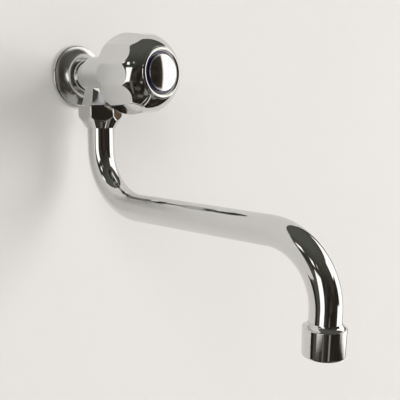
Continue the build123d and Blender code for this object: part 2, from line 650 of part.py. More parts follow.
def outlet_ring():
    """Plated ring brazed on the pipe's end, with the aerator's thread and a flare above it."""
    socket = PIPE_RADIUS + PRESS_PLAY / 2
    lip = (socket + FLARE_LIP, OUTLET_RING_ABOVE + OUTLET_FLARE)
    crest = (OUTLET_RING_RADIUS, OUTLET_RING_ABOVE)
    flare = SagittaArc(lip, crest, -FLARE_HOLLOW)
    rest = Polyline(
        crest,
        (OUTLET_RING_RADIUS, -OUTLET_RING_BELOW),
        (PIPE_BORE_RADIUS, -OUTLET_RING_BELOW),
        (PIPE_BORE_RADIUS, 0),
        (socket, 0),
        (socket, OUTLET_RING_ABOVE + OUTLET_FLARE),
        lip,
    )
    return at_outlet(revolve(Plane.XZ * make_face(flare + rest), Axis.Z))


def aerator_housing():
    """Sleeve screwed on the outlet ring, with a lip that holds the insert."""
    housing = on_swivel_axis(
        (0, AERATOR_TOP),
        (AERATOR_RADIUS, AERATOR_TOP),
        (AERATOR_FOOT_RADIUS, AERATOR_BOTTOM),
        (0, AERATOR_BOTTOM),
    )
    rims = housing.edges().filter_by(GeomType.CIRCLE).sort_by(Axis.Z)
    housing = fillet(rims[:1], AERATOR_FOOT_EDGE)
    rims = housing.edges().filter_by(GeomType.CIRCLE).sort_by(Axis.Z)
    housing = fillet(rims[-1:], AERATOR_TOP_EDGE)
    housing -= rod_on_swivel(OUTLET_RING_RADIUS + THREAD_FIT, AERATOR_TOP, AERATOR_LEDGE)
    housing -= rod_on_swivel(AERATOR_LIP_RADIUS, AERATOR_LEDGE, AERATOR_BOTTOM)
    return at_outlet(housing)


def aerator_gasket():
    """Rubber ring squeezed between the outlet ring and the insert."""
    ring = tube_on_swivel(INSERT_RADIUS, AERATOR_GASKET_BORE, -OUTLET_RING_BELOW, INSERT_TOP)
    return at_outlet(ring)


def aerator_insert():
    """Plastic cup with a perforated floor."""
    insert = rod_on_swivel(INSERT_RADIUS, INSERT_TOP, AERATOR_LEDGE)
    insert += rod_on_swivel(INSERT_BODY_RADIUS, AERATOR_LEDGE, INSERT_BOTTOM)
    floor_top = INSERT_BOTTOM + INSERT_FLOOR
    insert -= rod_on_swivel(INSERT_BODY_RADIUS - INSERT_WALL, INSERT_TOP, floor_top)
    hole = rod_on_swivel(INSERT_HOLE_RADIUS, floor_top, INSERT_BOTTOM)
    insert -= hole
    for circle, radius in enumerate(INSERT_HOLE_CIRCLES, start=1):
        insert -= PolarLocations(radius, 6 * circle) * hole
    return at_outlet(insert)


def aerator_screens():
    """Two fine metal screens that lie in the insert."""
    radius = INSERT_BODY_RADIUS - INSERT_WALL - PRESS_PLAY
    across = int(2 * radius / SCREEN_PITCH)
    squares = GridLocations(SCREEN_PITCH, SCREEN_PITCH, across, across) * Rectangle(
        SCREEN_HOLE, SCREEN_HOLE
    )
    kept = [s for s in squares if s.center().length + SCREEN_HOLE < radius]
    screen = extrude(Circle(radius) - kept, SCREEN_THICKNESS)
    floor_top = INSERT_BOTTOM + INSERT_FLOOR
    lower = Pos(0, 0, floor_top + PRESS_PLAY) * screen
    upper = Pos(0, 0, floor_top + PRESS_PLAY + SCREEN_SPACING) * screen
    return at_outlet(Compound([lower, upper]))


PIECES = {
    "wall_rosette": wall_rosette,
    "tap_body": tap_body,
    "bonnet_gasket": bonnet_gasket,
    "valve_bonnet": valve_bonnet,
    "valve_spindle": valve_spindle,
    "spindle_o_rings": spindle_o_rings,
    "spindle_circlip": spindle_circlip,
    "valve_plunger": valve_plunger,
    "seat_washer": seat_washer,
    "washer_screw": washer_screw,
    "knob_core": knob_core,
    "knob_shell": knob_shell,
    "knob_screw": knob_screw,
    "index_ring": index_ring,
    "knob_cap": knob_cap,
    "union_nut": union_nut,
    "slip_ring": slip_ring,
    "swivel_ferrule": swivel_ferrule,
    "swivel_o_rings": swivel_o_rings,
    "spout_pipe": spout_pipe,
    "outlet_ring": outlet_ring,
    "aerator_housing": aerator_housing,
    "aerator_gasket": aerator_gasket,
    "aerator_insert": aerator_insert,
    "aerator_screens": aerator_screens,
}

for name, build in PIECES.items():
    export_step(build(), f"parts/{name}.step")
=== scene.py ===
import json
from dataclasses import dataclass
from math import atan2, cos, hypot, pi, radians, sin

import bpy
import numpy as np
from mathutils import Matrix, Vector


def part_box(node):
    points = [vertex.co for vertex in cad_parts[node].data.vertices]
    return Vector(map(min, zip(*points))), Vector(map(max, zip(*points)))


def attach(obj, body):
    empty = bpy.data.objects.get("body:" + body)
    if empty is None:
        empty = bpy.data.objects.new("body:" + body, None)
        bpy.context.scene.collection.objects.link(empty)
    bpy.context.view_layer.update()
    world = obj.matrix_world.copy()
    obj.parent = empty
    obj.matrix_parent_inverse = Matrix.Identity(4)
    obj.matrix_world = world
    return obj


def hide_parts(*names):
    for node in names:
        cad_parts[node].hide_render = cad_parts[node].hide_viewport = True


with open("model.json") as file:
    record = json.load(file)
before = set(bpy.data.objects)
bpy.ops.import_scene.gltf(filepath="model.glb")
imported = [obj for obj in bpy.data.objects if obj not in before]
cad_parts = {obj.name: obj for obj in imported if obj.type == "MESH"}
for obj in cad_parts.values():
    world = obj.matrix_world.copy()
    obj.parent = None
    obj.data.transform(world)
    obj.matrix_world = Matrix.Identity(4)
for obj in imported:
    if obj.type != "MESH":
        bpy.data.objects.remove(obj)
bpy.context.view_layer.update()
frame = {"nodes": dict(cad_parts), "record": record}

# The tap's own sizes are in millimetres until a mesh is written, and then in metres. The
# stage, the room screen, the lights and the camera's place are in metres throughout.
MM = 0.001

# The photograph's camera, in the image's own pixels and the frame's metres
IMAGE_PIXELS = 400
FOCAL_PIXELS = 689.85
SENSOR_WIDTH = 36.0  # millimetres
CAMERA_PLACE = (-0.3055, -0.3929, -0.0211)
CAMERA_HEADING = 47.77  # degrees from +Y towards +X
CAMERA_FALL = 7.68  # degrees below level

# How finely round shapes are divided: pieces round the axis, and angles along an arc
AROUND = 288
PIPE_AROUND = 144
NUT_AROUND = 720
FLUTE_AROUND = 60  # for each flute
ARC_STEP = radians(9)
DOME_STEP = radians(1.5)

# The longest pieces of a straight stretch
LONGEST = 4.0
BODY_LONGEST = 2.0
BOSS_LONGEST = 1.0
PIPE_LONGEST = 1.0
KNOB_LONGEST = 0.8
NUT_LONGEST = 0.4

HAIR = 1e-3  # sets the two points of a sharp edge apart
TINY = 1e-12  # counts as no length at all
FINE_EDGE = 0.12  # rounding of an edge that looks sharp
PUSH_FIT = 0.05  # radial play of a piece that is pushed on or in


def low_high(node):
    """Lowest and highest corner of a node, in millimetres."""
    low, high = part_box(node)
    return np.array(low) / MM, np.array(high) / MM


# Sizes and places read from the frame
ROSETTE_LOW, ROSETTE_HIGH = low_high("wall_rosette")
BODY_LOW, BODY_HIGH = low_high("tap_body")
KNOB_LOW, KNOB_HIGH = low_high("knob_shell")
CAP_LOW, CAP_HIGH = low_high("knob_cap")
RING_LOW, RING_HIGH = low_high("index_ring")
NUT_LOW, NUT_HIGH = low_high("union_nut")
PIPE_TOP = -low_high("spout_pipe")[1][2]  # below the inlet's axis
SWIVEL_OUT = -(NUT_LOW[1] + NUT_HIGH[1]) / 2  # out from the wall


# Outlines, and turning them into smooth pieces

class Outline:
    """A closed or pole-to-pole line of (radius, along) points with the normal at each.

    It runs with the material on its left: up the outside, inwards over the front,
    back through the bore and outwards over the rear.
    """

    def __init__(self):
        self.points = []
        self.normals = []

    def add(self, point, normal):
        self.points.append(point)
        self.normals.append(normal)

    def arc(self, centre, radius, start, end, step=ARC_STEP):
        """Points on an arc, between two angles from the radius direction."""
        count = max(2, int(abs(end - start) / step) + 2)
        outwards = 1 if end > start else -1
        for angle in np.linspace(start, end, count):
            ray = (cos(angle), sin(angle))
            place = (centre[0] + radius * ray[0], centre[1] + radius * ray[1])
            self.add(place, (outwards * ray[0], outwards * ray[1]))

    def bow(self, start, end, sagitta):
        """An arc that bows to the right of the way from start to end."""
        chord = np.subtract(end, start)
        length = hypot(*chord)
        right = np.array([chord[1], -chord[0]]) / length
        radius = (length**2 / 4 + sagitta**2) / (2 * abs(sagitta))
        centre = np.add(start, end) / 2 + right * (sagitta - np.sign(sagitta) * radius)
        first = atan2(start[1] - centre[1], start[0] - centre[0])
        last = atan2(end[1] - centre[1], end[0] - centre[0])
        sweep = (last - first + pi) % (2 * pi) - pi
        self.arc(centre, radius, first, first + sweep, DOME_STEP)

    def corner(self, before, here, after, rounding):
        """A rounded corner between two straight stretches."""
        back = np.subtract(before, here) / np.linalg.norm(np.subtract(before, here))
        ahead = np.subtract(after, here) / np.linalg.norm(np.subtract(after, here))
        turn = np.arccos(np.clip(np.dot(back, ahead), -1, 1))
        reach = rounding / np.tan(turn / 2)
        middle = (back + ahead) / np.linalg.norm(back + ahead)
        centre = np.array(here) + middle * rounding / np.sin(turn / 2)
        first = np.array(here) + back * reach - centre
        last = np.array(here) + ahead * reach - centre
        start = atan2(first[1], first[0])
        sweep = (atan2(last[1], last[0]) - start + pi) % (2 * pi) - pi
        self.arc(centre, rounding, start, start + sweep)

    def corners(self, before, points, after, rounding):
        """A rounded corner at each point of a broken line."""
        line = [before, *points, after]
        for last, here, following in zip(line, points, line[2:]):
            self.corner(last, here, following, rounding)


def rounded(corners):
    """A closed outline through (radius, along, rounding) corners."""
    outline = Outline()
    for index, (radius, along, rounding) in enumerate(corners):
        before = corners[index - 1][:2]
        after = corners[(index + 1) % len(corners)][:2]
        outline.corner(before, (radius, along), after, rounding)
    return outline


def divided(outline, longest, closed):
    """The outline's points and normals, with long straight stretches divided."""
    points, normals = [], []
    count = len(outline.points)
    for index in range(count):
        here, first = np.array(outline.points[index]), np.array(outline.normals[index])
        points.append(here)
        normals.append(first)
        if not closed and index == count - 1:
            break
        following = (index + 1) % count
        gap = np.array(outline.points[following]) - here
        last = np.array(outline.normals[following])
        pieces = int(np.linalg.norm(gap) / longest) + 1
        for piece in range(1, pieces):
            share = piece / pieces
            blend = first * (1 - share) + last * share
            points.append(here + gap * share)
            normals.append(blend / np.linalg.norm(blend))
    return np.array(points), np.array(normals)


def straight_axis(centre, up, ahead):
    """A straight path's centres, with its sideways, upward and forward directions."""
    return centre, *(np.broadcast_to(way, centre.shape) for way in ([1.0, 0.0, 0.0], up, ahead))


def inlet_axis(along):
    """The inlet's axis, which comes out of the wall."""
    centre = np.stack([0 * along, -along, 0 * along], -1)
    return straight_axis(centre, [0.0, 0.0, 1.0], [0.0, -1.0, 0.0])


def swivel_axis(along):
    """The spout's swivel axis, which falls from the height of the inlet."""
    centre = np.stack([0 * along, 0 * along - SWIVEL_OUT, -along], -1)
    return straight_axis(centre, [0.0, -1.0, 0.0], [0.0, 0.0, -1.0])


def link(name, data):
    """A new object in the scene for a mesh, a light or a camera."""
    piece = bpy.data.objects.new(name, data)
    bpy.context.scene.collection.objects.link(piece)
    return piece


def write_mesh(name, vertices, normals, faces, material):
    """A smooth mesh object from millimetre vertices with the normals given."""
    mesh = bpy.data.meshes.new(name)
    mesh.from_pydata((np.asarray(vertices) * MM).tolist(), [], faces)
    mesh.update()
    mesh.shade_smooth()
    mesh.normals_split_custom_set_from_vertices(np.asarray(normals).tolist())
    mesh.materials.append(material)
    return link(name, mesh)


def grid_normals(places, closed):
    """Normals of a grid of places from the directions of its two sets of lines."""
    around = np.roll(places, -1, 1) - np.roll(places, 1, 1)
    if closed:
        along = np.roll(places, -1, 0) - np.roll(places, 1, 0)
    else:
        along = np.gradient(places, axis=0)
    normals = np.cross(around, along)
    length = np.linalg.norm(normals, axis=-1, keepdims=True)
    return normals / np.maximum(length, TINY)


def turned(name, outline, path, material, shape=None, longest=LONGEST, around=AROUND):
    """Turns an outline about a path. A shape function changes its radius by angle.

    A path gives the centre and the three directions at each length along it.
    """
    closed = min(outline.points[0][0], outline.points[-1][0]) > 0
    points, turned_normals = divided(outline, longest, closed)
    angles = np.arange(around) * 2 * pi / around
    centre, side, up, ahead = (part[:, None, :] for part in path(points[:, 1]))
    ray = np.cos(angles)[None, :, None] * side + np.sin(angles)[None, :, None] * up
    radius = np.broadcast_to(points[:, :1], (len(points), around))
    if shape is not None:
        radius = shape(radius, points[:, 1:], angles[None, :])
    places = centre + radius[..., None] * ray
    normals = turned_normals[:, :1, None] * ray + turned_normals[:, 1:, None] * ahead
    if shape is not None:
        # The plain normals only tell which side of the shaped skin is the outside.
        shaped = grid_normals(places, closed)
        normals = shaped * np.sign(np.sum(shaped * normals, -1).sum())
    return stitched(name, places, normals, closed, material)


def stitched(name, places, normals, closed, material):
    """Joins rings of places into a closed skin, with a fan at each pole."""
    rings, around = places.shape[:2]
    vertices, vertex_normals, index = [], [], []
    for ring in range(rings):
        start = len(vertices)
        if np.ptp(places[ring], axis=0).max() < TINY:
            vertices.append(places[ring, 0])
            vertex_normals.append(normals[ring].mean(0))
            index.append([start] * around)
        else:
            vertices.extend(places[ring])
            vertex_normals.extend(normals[ring])
            index.append(range(start, start + around))
    faces = []
    for ring in range(rings if closed else rings - 1):
        here, there = index[ring], index[(ring + 1) % rings]
        for step in range(around):
            following = (step + 1) % around
            corners = [here[step], here[following], there[following], there[step]]
            faces.append(list(dict.fromkeys(corners)))
    # One face past the first ring tells whether the faces run the wrong way round.
    a, b, c = (np.array(vertices[v]) for v in faces[around][:3])
    if np.dot(np.cross(b - a, c - a), vertex_normals[faces[around][0]]) < 0:
        faces = [face[::-1] for face in faces]
    return write_mesh(name, vertices, vertex_normals, faces, material)


def smooth_least(a, b, rounding):
    """The lesser of two values, with the change from one to the other rounded."""
    share = np.clip(0.5 + 0.5 * (b - a) / rounding, 0, 1)
    return b * (1 - share) + a * share - rounding * share * (1 - share)


def polygon_radius(angles, across_flats, sides, turn, rounding):
    """Radius of a regular polygon with rounded corners at each angle."""
    pitch = 2 * pi / sides
    flat = across_flats / 2
    off = (angles - turn + pitch / 2) % pitch - pitch / 2
    sharp = flat / np.cos(off)
    # The corner's rounding is an arc about a centre on the corner's ray.
    corner_off = pitch / 2 - np.abs(off)
    distance = (flat - rounding) / cos(pitch / 2)
    along = distance * np.cos(corner_off)
    across = distance * np.sin(corner_off)
    reach = np.sqrt(np.maximum(rounding**2 - across**2, 0))
    on_arc = np.arctan2(distance * sin(pitch / 2), flat)
    return np.where(np.abs(off) > on_arc, along + reach, sharp)


# Materials
MIX_FIRST, MIX_SECOND = 6, 7  # the Mix node's two colour sockets
MIX_RESULT = 2  # and its colour output
METAL_WEAR_FINENESS = 3  # how much finer a metal's wear is than its tone
GRAINS_PER_TONE = 8  # how much finer a plastic's grain is than its tone
GRAINS_PER_WEAR = 2  # and than its wear


def feed(tree, socket, value):
    """Links a socket to another, or gives it a colour or a number."""
    if isinstance(value, bpy.types.NodeSocket):
        tree.links.new(value, socket)
    elif isinstance(value, tuple):
        socket.default_value = (*value, 1)
    else:
        socket.default_value = value


def new_material(name):
    """A new material, with its node tree and its shader."""
    material = bpy.data.materials.new(name)
    material.use_nodes = True
    tree = material.node_tree
    return material, tree, tree.nodes["Principled BSDF"]


def noise(tree, scale, detail):
    """A noise pattern fixed to the piece, with scale in patterns per metre."""
    place = tree.nodes.new("ShaderNodeTexCoord")
    texture = tree.nodes.new("ShaderNodeTexNoise")
    texture.inputs["Scale"].default_value = scale
    texture.inputs["Detail"].default_value = detail
    tree.links.new(place.outputs["Object"], texture.inputs["Vector"])
    return texture.outputs["Fac"]


def ramp(tree, value, start, end, low=0.0, high=1.0):
    """A value that goes from low to high while another goes from start to end."""
    node = tree.nodes.new("ShaderNodeMapRange")
    node.inputs["From Min"].default_value = start
    node.inputs["From Max"].default_value = end
    node.inputs["To Min"].default_value = low
    node.inputs["To Max"].default_value = high
    tree.links.new(value, node.inputs["Value"])
    return node.outputs["Result"]


def mixed(tree, share, first, second):
    """A colour between two, by a share of 0 to 1."""
    node = tree.nodes.new("ShaderNodeMix")
    node.data_type = "RGBA"
    feed(tree, node.inputs["Factor"], share)
    feed(tree, node.inputs[MIX_FIRST], first)
    feed(tree, node.inputs[MIX_SECOND], second)
    return node.outputs[MIX_RESULT]


def calculate(tree, operation, *values):
    """One step of arithmetic on sockets or numbers."""
    node = tree.nodes.new("ShaderNodeMath")
    node.operation = operation
    for socket, value in zip(node.inputs, values):
        feed(tree, socket, value)
    return node.outputs[0]


def bump(tree, shader, height, distance, strength=1.0):
    """Raises the surface by a pattern, over a distance in metres."""
    node = tree.nodes.new("ShaderNodeBump")
    node.inputs["Distance"].default_value = distance
    node.inputs["Strength"].default_value = strength
    tree.links.new(height, node.inputs["Height"])
    tree.links.new(node.outputs["Normal"], shader.inputs["Normal"])


def metal(name, clean, dull, roughness, tone_scale, bump_scale, bump_height):
    """A metal with patchy tone and roughness and a slightly uneven surface."""
    material, tree, shader = new_material(name)
    tone = noise(tree, tone_scale, detail=4.0)
    wear = noise(tree, tone_scale * METAL_WEAR_FINENESS, detail=5.0)
    feed(tree, shader.inputs["Metallic"], 1.0)
    feed(tree, shader.inputs["Base Color"], mixed(tree, tone, clean, dull))
    feed(tree, shader.inputs["Roughness"], ramp(tree, wear, 0.0, 1.0, *roughness))
    bump(tree, shader, noise(tree, bump_scale, detail=3.0), bump_height)
    return material


def plastic(name, colour, shade, roughness, grain_scale, grain_height, coat=0.0):
    """A moulded plastic, rubber or fibre with a fine grain."""
    material, tree, shader = new_material(name)
    tone = noise(tree, grain_scale / GRAINS_PER_TONE, detail=3.0)
    wear = noise(tree, grain_scale / GRAINS_PER_WEAR, detail=3.0)
    feed(tree, shader.inputs["Base Color"], mixed(tree, tone, colour, shade))
    feed(tree, shader.inputs["Roughness"], ramp(tree, wear, 0.0, 1.0, *roughness))
    feed(tree, shader.inputs["Coat Weight"], coat)
    bump(tree, shader, noise(tree, grain_scale, detail=2.0), grain_height)
    return material


CHROME = metal(
    "chrome_plate", (0.70, 0.70, 0.69), (0.65, 0.65, 0.645),
    roughness=(0.03, 0.07), tone_scale=45, bump_scale=60, bump_height=3e-5,
)
PRESSED_CHROME = metal(
    "pressed_chrome", (0.74, 0.74, 0.73), (0.66, 0.66, 0.655),
    roughness=(0.20, 0.26), tone_scale=30, bump_scale=90, bump_height=1.5e-5,
)
BRASS = metal(
    "turned_brass", (0.70, 0.52, 0.24), (0.58, 0.42, 0.18),
    roughness=(0.22, 0.38), tone_scale=120, bump_scale=900, bump_height=2e-5,
)
STEEL = metal(
    "bright_steel", (0.62, 0.62, 0.63), (0.52, 0.52, 0.54),
    roughness=(0.20, 0.32), tone_scale=150, bump_scale=1200, bump_height=1e-5,
)
RUBBER = plastic(
    "black_rubber", (0.022, 0.022, 0.023), (0.035, 0.034, 0.033),
    roughness=(0.55, 0.75), grain_scale=1500, grain_height=2e-5,
)
FIBRE = plastic(
    "pressed_fibre", (0.42, 0.13, 0.08), (0.30, 0.09, 0.06),
    roughness=(0.7, 0.9), grain_scale=1200, grain_height=4e-5,
)
BLUE = plastic(
    "blue_plastic", (0.022, 0.022, 0.085), (0.014, 0.014, 0.060),
    roughness=(0.12, 0.2), grain_scale=700, grain_height=5e-6, coat=0.8,
)
WHITE = plastic(
    "white_plastic", (0.72, 0.72, 0.69), (0.66, 0.66, 0.62),
    roughness=(0.35, 0.5), grain_scale=900, grain_height=1e-5,
)
NYLON = plastic(
    "nylon", (0.80, 0.78, 0.72), (0.72, 0.70, 0.64),
    roughness=(0.35, 0.5), grain_scale=900, grain_height=1e-5,
)
SLOT_MATERIALS = {
    "chrome": CHROME,
    "brass": BRASS,
    "steel": STEEL,
    "rubber": RUBBER,
    "fibre": FIBRE,
    "blue_plastic": BLUE,
    "white_plastic": WHITE,
    "nylon": NYLON,
}


def dress_frame():
    """Gives every node that stays its slot's material."""
    for part in frame["record"]["subparts"]:
        mesh = frame["nodes"][part["node"]].data
        mesh.materials.clear()
        mesh.materials.append(SLOT_MATERIALS[part["material_slot"]])


# The pieces that show, with the sizes of the CAD nodes that they stand for

# Wall rosette
ROSETTE_SIDE = 1.0
ROSETTE_EDGE = 1.3
ROSETTE_HEIGHT = 6.8
ROSETTE_HOLLOW = 0.7
ROSETTE_SHEET = 1.3
HUB_RADIUS = 13.2
HUB_ROUNDING = 0.5
HUB_FOOT_ROUNDING = 0.35
NECK_RADIUS = 11.4


def polished_rosette():
    """A sheet dish with a rolled rim, a hollow face and a short hub."""
    rim = ROSETTE_HIGH[0]
    end = -ROSETTE_LOW[1]
    crown = ROSETTE_SIDE + ROSETTE_EDGE
    hole = NECK_RADIUS + PUSH_FIT
    face_rim = (rim - ROSETTE_EDGE, crown)
    face_hub = (HUB_RADIUS + HUB_FOOT_ROUNDING, ROSETTE_HEIGHT)
    inner = [
        (hole, end),
        (hole, ROSETTE_HEIGHT - ROSETTE_SHEET),
        (rim - ROSETTE_SHEET - ROSETTE_EDGE, crown - ROSETTE_SHEET),
        (rim - ROSETTE_SHEET, ROSETTE_SIDE - ROSETTE_SHEET / 2),
        (rim - ROSETTE_SHEET, 0),
    ]
    outline = Outline()
    outline.corner((rim - ROSETTE_SHEET, 0), (rim, 0), (rim, ROSETTE_SIDE), FINE_EDGE)
    outline.arc((rim - ROSETTE_EDGE, ROSETTE_SIDE), ROSETTE_EDGE, 0, pi / 2)
    outline.bow(face_rim, face_hub, -ROSETTE_HOLLOW)
    outline.corner((HUB_RADIUS, ROSETTE_HEIGHT), (HUB_RADIUS, end), (hole, end), HUB_ROUNDING)
    outline.corners((HUB_RADIUS, end), inner, (rim, 0), FINE_EDGE)
    return turned("polished_rosette", outline, inlet_axis, PRESSED_CHROME)


# Tap body, in two pieces: what is turned about the inlet's axis, and the outlet boss
BARREL_RADIUS = 12.8
BARREL_START = 18.9
BARREL_ROUNDING = 0.8
BORE_RADIUS = 6.0
THREAD_RADIUS = 10.48
THREAD_END = 3.0
CHAMBER_RADIUS = 8.0
CHAMBER_FLOOR = 19.0
BONNET_BORE_RADIUS = 8.38
BONNET_BORE_FLOOR = 31.9
BOSS_TOP = 8.5  # in the barrel's wall, below the chamber
BOSS_BOTTOM = 19.8
BOSS_SIDES = 8
BOSS_ACROSS_FLATS = 23.6
BOSS_TAPER = radians(13)
BOSS_ROUNDING = 0.5


def polished_body():
    """The inlet's thread, the neck and the barrel, with the bores through them."""
    rear, front = -BODY_HIGH[1], -BODY_LOW[1]
    corners = [
        (THREAD_RADIUS, rear, FINE_EDGE),
        (THREAD_RADIUS, THREAD_END, FINE_EDGE),
        (NECK_RADIUS, THREAD_END, FINE_EDGE),
        (NECK_RADIUS, BARREL_START, FINE_EDGE),
        (BARREL_RADIUS, BARREL_START, BARREL_ROUNDING),
        (BARREL_RADIUS, front, BARREL_ROUNDING),
        (BONNET_BORE_RADIUS, front, FINE_EDGE),
        (BONNET_BORE_RADIUS, BONNET_BORE_FLOOR, FINE_EDGE),
        (CHAMBER_RADIUS, BONNET_BORE_FLOOR, FINE_EDGE),
        (CHAMBER_RADIUS, CHAMBER_FLOOR, FINE_EDGE),
        (BORE_RADIUS, CHAMBER_FLOOR, FINE_EDGE),
        (BORE_RADIUS, rear, FINE_EDGE),
    ]
    return turned("polished_body", rounded(corners), inlet_axis, CHROME, longest=BODY_LONGEST)


def polished_boss():
    """The octagonal outlet boss, which narrows upwards into the barrel."""
    def octagon(radius, along, angles):
        narrowing = np.maximum(BOSS_BOTTOM - along, 0) * np.tan(BOSS_TAPER)
        sides = polygon_radius(angles, BOSS_ACROSS_FLATS, BOSS_SIDES, 0.0, BOSS_ROUNDING)
        return np.where(radius > THREAD_RADIUS, np.minimum(radius, sides) - narrowing, radius)

    # The outline's own radius lies past the corners, so the octagon cuts it back.
    past_corners = BOSS_ACROSS_FLATS
    outline = Outline()
    outline.add((0, BOSS_TOP), (0, -1))
    outline.add((THREAD_RADIUS + HAIR, BOSS_TOP), (0, -1))
    outline.add((past_corners, BOSS_TOP + HAIR), (1, 0))
    outline.add((past_corners, BOSS_BOTTOM - HAIR), (1, 0))
    outline.add((THREAD_RADIUS + HAIR, BOSS_BOTTOM), (0, 1))
    outline.add((0, BOSS_BOTTOM), (0, 1))
    return turned(
        "polished_boss", outline, swivel_axis, CHROME, shape=octagon, longest=BOSS_LONGEST
    )


# Knob, whose flutes are hollow across and bulge along
KNOB_RIM_RADIUS = 25.6
KNOB_MAX_RADIUS = 26.7
KNOB_MAX_AT = 12.0
KNOB_RIM_ROUNDING = 0.7
REAR_BULGE = 0.5
BEAD_RADIUS = 16.5
BEAD_WIDTH = 3.6
BEAD_STEP = 1.0
CAVITY_RADIUS = 22.4
CAVITY_STRAIGHT = 18.5
CAVITY_DEPTH = 29.2
CAVITY_END_RADIUS = 12.0
FACE_DEPTH = 2.2
FACE_HOLE_RADIUS = 6.2
FLUTES = 12
FLUTE_TURN = radians(3.7)
FLUTE_HOLLOW_RADIUS = 80.0
FLUTE_STATIONS = ((0.0, 25.45), (10.0, 25.35), (23.7, 23.4))  # from the rim, floor's radius
FLUTE_ROUNDING = 0.35
SHELL_LEAST = 0.5  # what lies farther than this past the cavity is the outside


def flute_floor(from_rim):
    """Radius of a flute's floor in its middle: a parabola through three stations."""
    (s0, r0), (s1, r1), (s2, r2) = FLUTE_STATIONS
    first = r0 * (from_rim - s1) * (from_rim - s2) / ((s0 - s1) * (s0 - s2))
    second = r1 * (from_rim - s0) * (from_rim - s2) / ((s1 - s0) * (s1 - s2))
    third = r2 * (from_rim - s0) * (from_rim - s1) / ((s2 - s0) * (s2 - s1))
    return first + second + third


def fluted(radius, along, angles):
    """The knob's radius, less where a flute's hollow cuts into its outside."""
    pitch = 2 * pi / FLUTES
    off = (angles - FLUTE_TURN + pitch / 2) % pitch - pitch / 2
    hollow_axis = FLUTE_STATIONS[1][1] + FLUTE_HOLLOW_RADIUS
    hollow = hollow_axis - flute_floor(along + KNOB_HIGH[1])
    half_width = np.sqrt(hollow**2 - (hollow_axis * np.sin(off)) ** 2)
    flute = hollow_axis * np.cos(off) - half_width
    outside = radius > CAVITY_RADIUS + SHELL_LEAST
    return np.where(outside, smooth_least(radius, flute, FLUTE_ROUNDING), radius)


def polished_knob():
    """The knob's shell: a bulging side, a dome, a bead round the face, and the cavity."""
    rear, front = -KNOB_HIGH[1], -KNOB_LOW[1]
    widest = rear + KNOB_MAX_AT
    side_middle = ((KNOB_RIM_RADIUS + KNOB_MAX_RADIUS) / 2 + REAR_BULGE, rear + KNOB_MAX_AT / 2)
    dome_end = (BEAD_RADIUS, front - BEAD_STEP)
    drop = KNOB_MAX_RADIUS - dome_end[0]
    run = dome_end[1] - widest
    dome_radius = (drop**2 + run**2) / (2 * drop)
    dome_centre = (KNOB_MAX_RADIUS - dome_radius, widest)
    dome_angle = atan2(run, dome_end[0] - dome_centre[0])
    bead = BEAD_WIDTH / 2
    bead_centre = (BEAD_RADIUS - bead, front - bead)
    crease = np.arcsin((dome_end[1] - bead_centre[1]) / bead)
    face_edge = BEAD_RADIUS - BEAD_WIDTH
    face = front - FACE_DEPTH
    end = rear + CAVITY_DEPTH
    inside = [
        (face_edge, face),
        (FACE_HOLE_RADIUS, face),
        (FACE_HOLE_RADIUS, end),
        (CAVITY_END_RADIUS, end),
        (CAVITY_RADIUS, rear + CAVITY_STRAIGHT),
        (CAVITY_RADIUS, rear),
    ]
    outline = Outline()
    rim = (KNOB_RIM_RADIUS, rear)
    outline.corner((CAVITY_RADIUS, rear), rim, side_middle, KNOB_RIM_ROUNDING)
    outline.bow(outline.points[-1], (KNOB_MAX_RADIUS, widest), REAR_BULGE)
    outline.arc(dome_centre, dome_radius, 0, dome_angle, DOME_STEP)
    outline.arc(bead_centre, bead, crease, pi, ARC_STEP / 2)
    outline.corners((face_edge, front), inside, rim, FINE_EDGE)
    return turned(
        "polished_knob", outline, inlet_axis, CHROME,
        shape=fluted, longest=KNOB_LONGEST, around=FLUTES * FLUTE_AROUND,
    )


# Cap and index ring in the knob's face
CAP_ROUNDING = 0.5
CAP_CROWN = 0.9
CAP_HOLLOW = 1.3
CAP_SKIRT_WALL = 0.9
RING_ROUNDING = 0.15


def polished_cap():
    """A crowned disc with a skirt that is pushed into the hole in the knob's face."""
    radius = CAP_HIGH[0]
    front = -CAP_LOW[1]
    side_end = front - CAP_CROWN
    floor = -RING_HIGH[1]
    skirt_end = -CAP_HIGH[1]
    skirt = FACE_HOLE_RADIUS - PUSH_FIT
    bore = skirt - CAP_SKIRT_WALL
    hollow = (0, floor + CAP_HOLLOW)
    crown_radius = (radius**2 + CAP_CROWN**2) / (2 * CAP_CROWN)
    crown_centre = (0, front - crown_radius)
    slope = radius / crown_radius
    on_crown = (radius - CAP_ROUNDING * 2, side_end + slope * CAP_ROUNDING * 2)
    inner = [
        (bore, hollow[1]),
        (bore, skirt_end),
        (skirt, skirt_end),
        (skirt, floor),
        (radius, floor),
    ]
    outline = Outline()
    outline.add(hollow, (0, -1))
    outline.corners(hollow, inner, (radius, side_end), FINE_EDGE)
    outline.corner((radius, floor), (radius, side_end), on_crown, CAP_ROUNDING)
    last_radius, last_along = outline.points[-1]
    start = atan2(last_along - crown_centre[1], last_radius)
    outline.arc(crown_centre, crown_radius, start, pi / 2, DOME_STEP)
    outline.points[-1] = (0.0, front)
    return turned("polished_cap", outline, inlet_axis, CHROME)


def cold_ring():
    """The blue ring round the cap."""
    outer, inner = RING_HIGH[0], CAP_HIGH[0] + PUSH_FIT
    back, front = -RING_HIGH[1], -RING_LOW[1]
    corners = [
        (outer, back, RING_ROUNDING),
        (outer, front, RING_ROUNDING),
        (inner, front, RING_ROUNDING),
        (inner, back, RING_ROUNDING),
    ]
    return turned("cold_ring", rounded(corners), inlet_axis, BLUE)


